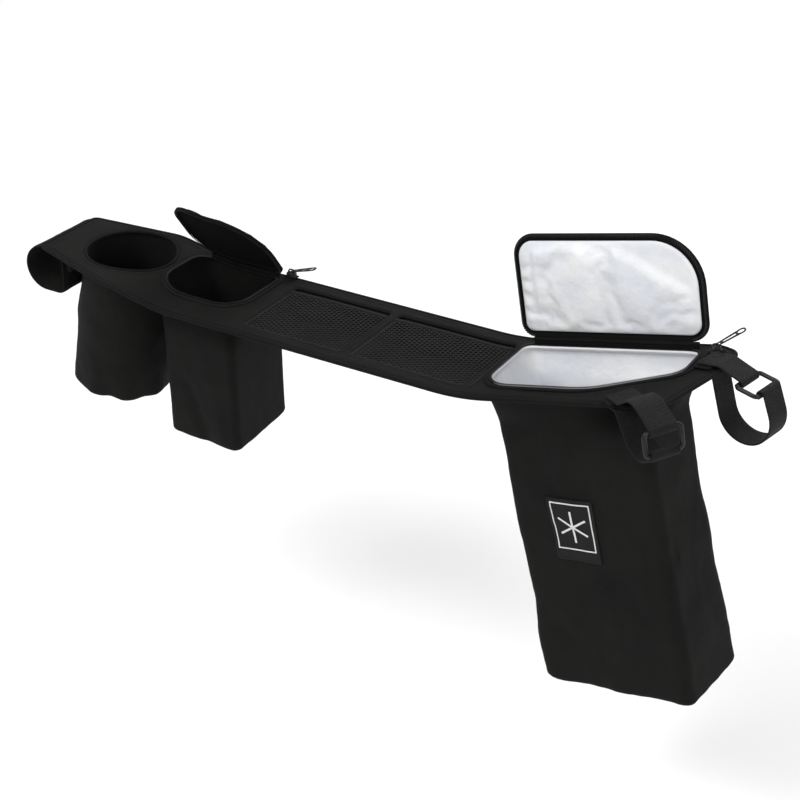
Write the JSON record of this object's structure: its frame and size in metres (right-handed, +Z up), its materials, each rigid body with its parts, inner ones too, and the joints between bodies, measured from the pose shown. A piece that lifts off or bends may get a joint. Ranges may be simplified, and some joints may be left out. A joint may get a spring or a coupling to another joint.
{
  "type": "stroller organizer",
  "caption": "Long fabric organizer that hangs on a stroller's handlebar, with an open cup holder, a lidded pocket, mesh pockets and a lidded insulated bag.",
  "frame": {"origin": "on the axis of the handlebar's side bar where the end sleeve wraps round it, midway across the deck", "axes": "+X along the deck from the sleeve to the strap end, +Y across it away from the person who pushes the stroller, +Z up as it hangs in use"},
  "size_m": [0.6205, 0.144, 0.3393],
  "materials": {
    "fabric": "matt black woven polyester over thin padding",
    "webbing": "black woven webbing and grosgrain tape",
    "mesh": "black knitted mesh",
    "dark_lining": "smooth dark nylon lining",
    "insulated_lining": "white foil lining with a soft sheen",
    "coil": "black coil zipper",
    "ring": "black moulded plastic",
    "slider": "dark painted zipper slider",
    "pull": "smoked plastic zipper pull",
    "label": "black woven patch",
    "print": "white print"
  },
  "bodies": {
    "organizer": {"bag_body": "fabric", "bag_lid_hinge": "fabric", "bag_lining": "insulated_lining", "bag_rim_zip_coil": "coil", "bag_rim_zip_tape": "webbing", "bag_slider": "slider", "bag_tape_end": "webbing", "bar_sleeve": "fabric", "cup_collar": "fabric", "cup_lining": "dark_lining", "cup_wall": "fabric", "deck_edge_binding": "webbing", "deck_panel": "fabric", "far_ring": "ring", "far_strap_lower": "webbing", "far_strap_tab": "fabric", "far_strap_upper": "webbing", "label_frame": "print", "label_patch": "label", "label_star": "print", "mesh_elastic_left": "webbing", "mesh_elastic_right": "webbing", "mesh_panel_left": "mesh", "mesh_panel_right": "mesh", "mesh_pocket_floor": "fabric", "near_ring": "ring", "near_strap_lower": "webbing", "near_strap_tab": "fabric", "near_strap_upper": "webbing", "pocket_body": "fabric", "pocket_lid_hinge": "fabric", "pocket_rim_zip_coil": "coil", "pocket_rim_zip_tape": "webbing", "pocket_slider": "slider", "pocket_tape_end": "webbing", "sleeve_hook_strip": "webbing", "sleeve_loop_tab": "webbing"},
    "bag_lid_body": {"bag_lid": "fabric", "bag_lid_lining": "insulated_lining", "bag_lid_zip_tape": "webbing", "bag_lid_zip_coil": "coil"},
    "pocket_lid_body": {"pocket_lid": "fabric", "pocket_lid_zip_tape": "webbing", "pocket_lid_zip_coil": "coil"},
    "bag_pull_body": {"bag_pull": "pull"},
    "pocket_pull_body": {"pocket_pull": "pull"}
  },
  "joints": [
    {"name": "bag_lid_hinge_joint", "type": "hinge", "parent": "organizer", "child": "bag_lid_body", "pos_m": [0.46607, 0.0406, 0.02946], "axis": [-0.9745, 0, -0.2243], "range_deg": [-95, 50]},
    {"name": "pocket_lid_hinge_joint", "type": "hinge", "parent": "organizer", "child": "pocket_lid_body", "pos_m": [0.14868, 0.0431, 0.01378], "axis": [-0.9984, 0, 0.0569], "range_deg": [-51, 60]},
    {"name": "bag_pull_hinge", "type": "hinge", "parent": "organizer", "child": "bag_pull_body", "pos_m": [0.54023, 0.0377, 0.04685], "axis": [0.6263, -0.766, 0.1446], "range_deg": [-22, 60]},
    {"name": "pocket_pull_hinge", "type": "hinge", "parent": "organizer", "child": "pocket_pull_body", "pos_m": [0.18747, 0.0495, 0.01307], "axis": [0, -1, 0], "range_deg": [-22, 60]}
  ]
}
